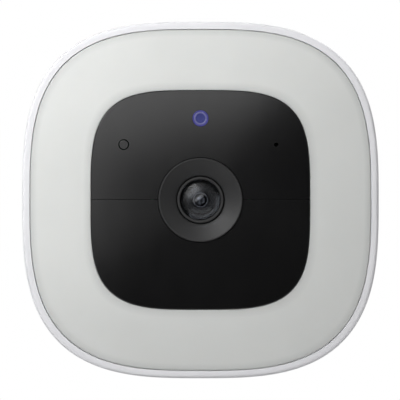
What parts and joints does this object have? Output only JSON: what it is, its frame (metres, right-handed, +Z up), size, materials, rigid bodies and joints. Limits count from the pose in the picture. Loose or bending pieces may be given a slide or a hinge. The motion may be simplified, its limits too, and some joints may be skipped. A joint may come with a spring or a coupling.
{
  "type": "floodlight security camera",
  "caption": "Rounded-square battery security camera with a frosted light ring round a black face and centre lens, on a ball mount for a wall.",
  "frame": {"origin": "middle of the wall plate's back face, the face that lies on the wall", "axes": "+Y out of the wall plate's back, into the wall; the camera looks along -Y; +Z up; +X to the right for a person facing the lens"},
  "size_m": [0.102, 0.1074, 0.102],
  "materials": {
    "white_shell": "fine moulded grain",
    "frosted_diffuser": "frosted translucent polycarbonate",
    "gloss_black": "polished",
    "satin_black": "satin",
    "matte_black": "matte",
    "lens_glass": "coated",
    "blue_light": "glowing light pipe",
    "grey_rubber": "soft touch",
    "steel": "plated",
    "brass": "turned",
    "aluminium": "satin",
    "circuit_board": "solder resist",
    "cell_wrap": null,
    "chip_black": "moulded package"
  },
  "bodies": {
    "wall_base": {"wall_plate": "white_shell", "friction_washer": "grey_rubber", "retainer_ring": "white_shell", "retainer_screw_1": "steel", "retainer_screw_2": "steel", "retainer_screw_3": "steel"},
    "swivel_arm": {"swivel_post": "white_shell"},
    "clamp_collar": {"lock_ring": "satin_black"},
    "ball": {"ball_stud": "steel"},
    "thumb_nut": {"jam_nut": "satin_black"},
    "camera_head": {"rear_housing": "white_shell", "mount_insert": "brass", "light_diffuser": "frosted_diffuser", "front_gasket": "grey_rubber", "faceplate_upper": "gloss_black", "pir_window": "gloss_black", "lens_bezel": "satin_black", "lens_trim_ring": "satin_black", "front_lens": "lens_glass", "status_light_pipe": "blue_light", "light_sensor_window": "satin_black", "lens_barrel": "matte_black", "rear_lens": "lens_glass", "lens_holder": "matte_black", "image_sensor": "chip_black", "camera_board": "circuit_board", "reflector_tray": "white_shell", "led_board": "aluminium", "mid_frame": "matte_black", "case_screw_1": "steel", "case_screw_2": "steel", "case_screw_3": "steel", "case_screw_4": "steel", "sensor_board": "circuit_board", "status_led": "chip_black", "ambient_light_sensor": "chip_black", "microphone": "steel", "ir_led_1": "chip_black", "ir_led_2": "chip_black", "pir_sensor": "steel", "pir_board": "circuit_board", "main_board": "circuit_board", "soc_shield": "steel", "wifi_antenna": "brass", "antenna_cable": "matte_black", "battery_holder": "matte_black", "battery_cell_1": "cell_wrap", "battery_cell_2": "cell_wrap", "battery_cell_3": "cell_wrap", "battery_strip_left": "steel", "battery_strip_right": "steel", "usb_board": "circuit_board", "usb_port": "steel", "sync_switch": "chip_black", "speaker": "matte_black"},
    "night_filter": {"ir_cut_filter": "matte_black"},
    "port_cover": {"usb_cover": "grey_rubber"},
    "pairing_button": {"sync_button": "grey_rubber"}
  },
  "joints": [
    {"name": "base_swivel", "type": "hinge", "parent": "wall_base", "child": "swivel_arm", "pos_m": [0, -0.002, 0], "axis": [0, 1, 0], "continuous": true},
    {"name": "collar_turn", "type": "hinge", "parent": "swivel_arm", "child": "clamp_collar", "pos_m": [0, -0.03, 0], "axis": [0, 1, 0], "range_deg": [0, 90]},
    {"name": "ball_tilt", "type": "hinge", "parent": "swivel_arm", "child": "ball", "pos_m": [0, -0.03, 0], "axis": [1, 0, 0], "range_deg": [-35, 35]},
    {"name": "thumb_nut_turn", "type": "hinge", "parent": "ball", "child": "thumb_nut", "pos_m": [0, -0.0457, 0], "axis": [0, 1, 0], "range_deg": [0, 180]},
    {"name": "head_roll", "type": "hinge", "parent": "ball", "child": "camera_head", "pos_m": [0, -0.03, 0], "axis": [0, 1, 0], "range_deg": [-180, 180]},
    {"name": "filter_shift", "type": "slide", "parent": "camera_head", "child": "night_filter", "axis": [1, 0, 0], "range_m": [0, 0.005]},
    {"name": "port_cover_hinge", "type": "hinge", "parent": "camera_head", "child": "port_cover", "pos_m": [-0.005, -0.049, -0.0215], "axis": [-1, 0, 0], "range_deg": [0, 110]},
    {"name": "button_press", "type": "slide", "parent": "camera_head", "child": "pairing_button", "axis": [0, -1, 0], "range_m": [0, 0.0008], "stiffness_N_per_m": 800, "springref_m": -0.0005}
  ]
}
